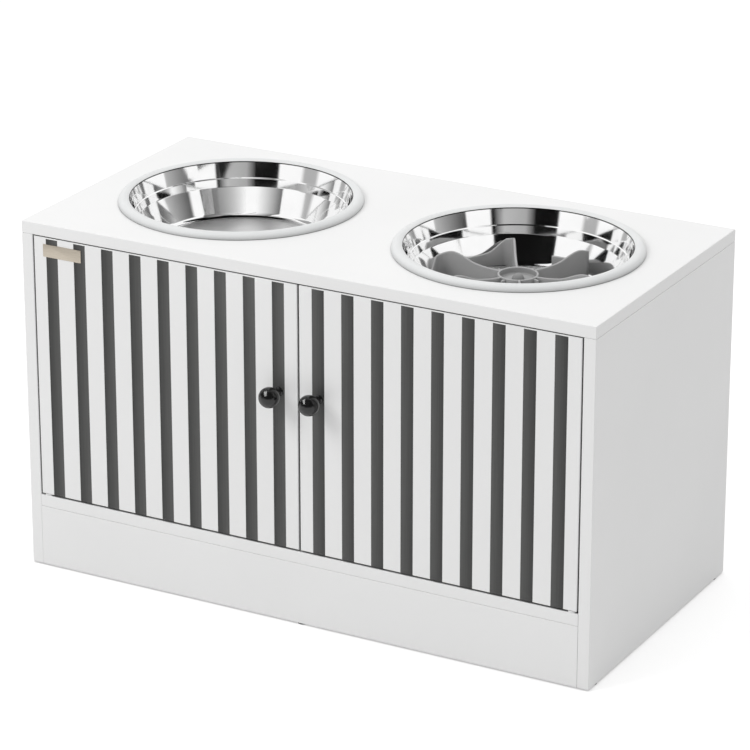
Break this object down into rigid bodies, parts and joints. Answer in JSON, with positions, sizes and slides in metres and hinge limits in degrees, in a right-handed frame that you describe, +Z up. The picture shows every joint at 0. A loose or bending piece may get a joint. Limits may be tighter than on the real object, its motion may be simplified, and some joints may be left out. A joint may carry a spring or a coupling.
{
  "type": "elevated dog feeder with storage",
  "caption": "Raised feeding cabinet for a dog: lift-out steel bowls with soft rims in the top, a slow feeder insert, and storage behind striped hinged doors.",
  "frame": {"origin": "on the floor, at the middle of the whole footprint, door knobs included", "axes": "+X to the right along the longest side, seen from the doors; -Y towards the doors; +Z up"},
  "size_m": [0.597, 0.3264, 0.3565],
  "materials": {
    "white_board": "satin white lacquer on fibreboard",
    "dark_stripe": "satin charcoal inlay",
    "black_knob": "gloss black",
    "steel_hardware": "zinc-plated steel",
    "zinc_fitting": "die-cast zinc, dull",
    "beech_dowel": "bare beech",
    "white_nylon": "moulded white nylon",
    "grey_glide": "moulded dark nylon",
    "magnet": "ferrite between steel poles",
    "bowl_steel": "mirror-polished stainless steel",
    "pale_ring": "pale soft silicone",
    "grey_insert": "matt mid-grey moulding",
    "grey_cup": "soft grey rubber"
  },
  "bodies": {
    "cabinet": {"top_panel": "white_board", "left_side_panel": "white_board", "right_side_panel": "white_board", "bottom_panel": "white_board", "back_panel": "white_board", "kickboard": "white_board", "rear_rail": "white_board", "floor_glides": "grey_glide", "cam_locks": "zinc_fitting", "cam_bolts": "steel_hardware", "dowels": "beech_dowel", "pivot_bushings": "white_nylon", "magnetic_catch": "white_nylon", "catch_magnets": "magnet", "catch_screws": "steel_hardware"},
    "left_door": {"left_door": "white_board", "left_door_strips": "dark_stripe", "left_knob": "black_knob", "left_knob_screw": "steel_hardware", "left_pivot_pins": "steel_hardware", "left_strike_plate": "steel_hardware", "left_strike_screw": "steel_hardware"},
    "right_door": {"right_door": "white_board", "right_door_strips": "dark_stripe", "right_knob": "black_knob", "right_knob_screw": "steel_hardware", "right_pivot_pins": "steel_hardware", "right_strike_plate": "steel_hardware", "right_strike_screw": "steel_hardware"},
    "left_bowl": {"left_bowl": "bowl_steel", "left_bowl_ring": "pale_ring"},
    "right_bowl": {"right_bowl": "bowl_steel", "right_bowl_ring": "pale_ring"},
    "slow_feeder": {"slow_feeder_insert": "grey_insert", "feeder_suction_cup": "grey_cup"}
  },
  "joints": [
    {"name": "left_door_hinge", "type": "hinge", "parent": "cabinet", "child": "left_door", "pos_m": [-0.279, -0.13128, 0.2], "axis": [0, 0, -1], "range_deg": [0, 110]},
    {"name": "right_door_hinge", "type": "hinge", "parent": "cabinet", "child": "right_door", "pos_m": [0.279, -0.13128, 0.2], "axis": [0, 0, 1], "range_deg": [0, 110]},
    {"name": "left_bowl_lift", "type": "slide", "parent": "cabinet", "child": "left_bowl", "axis": [0, 0, 1], "range_m": [0, 0.06]},
    {"name": "right_bowl_lift", "type": "slide", "parent": "cabinet", "child": "right_bowl", "axis": [0, 0, 1], "range_m": [0, 0.06]},
    {"name": "slow_feeder_lift", "type": "slide", "parent": "right_bowl", "child": "slow_feeder", "axis": [0, 0, 1], "range_m": [0, 0.06]}
  ]
}
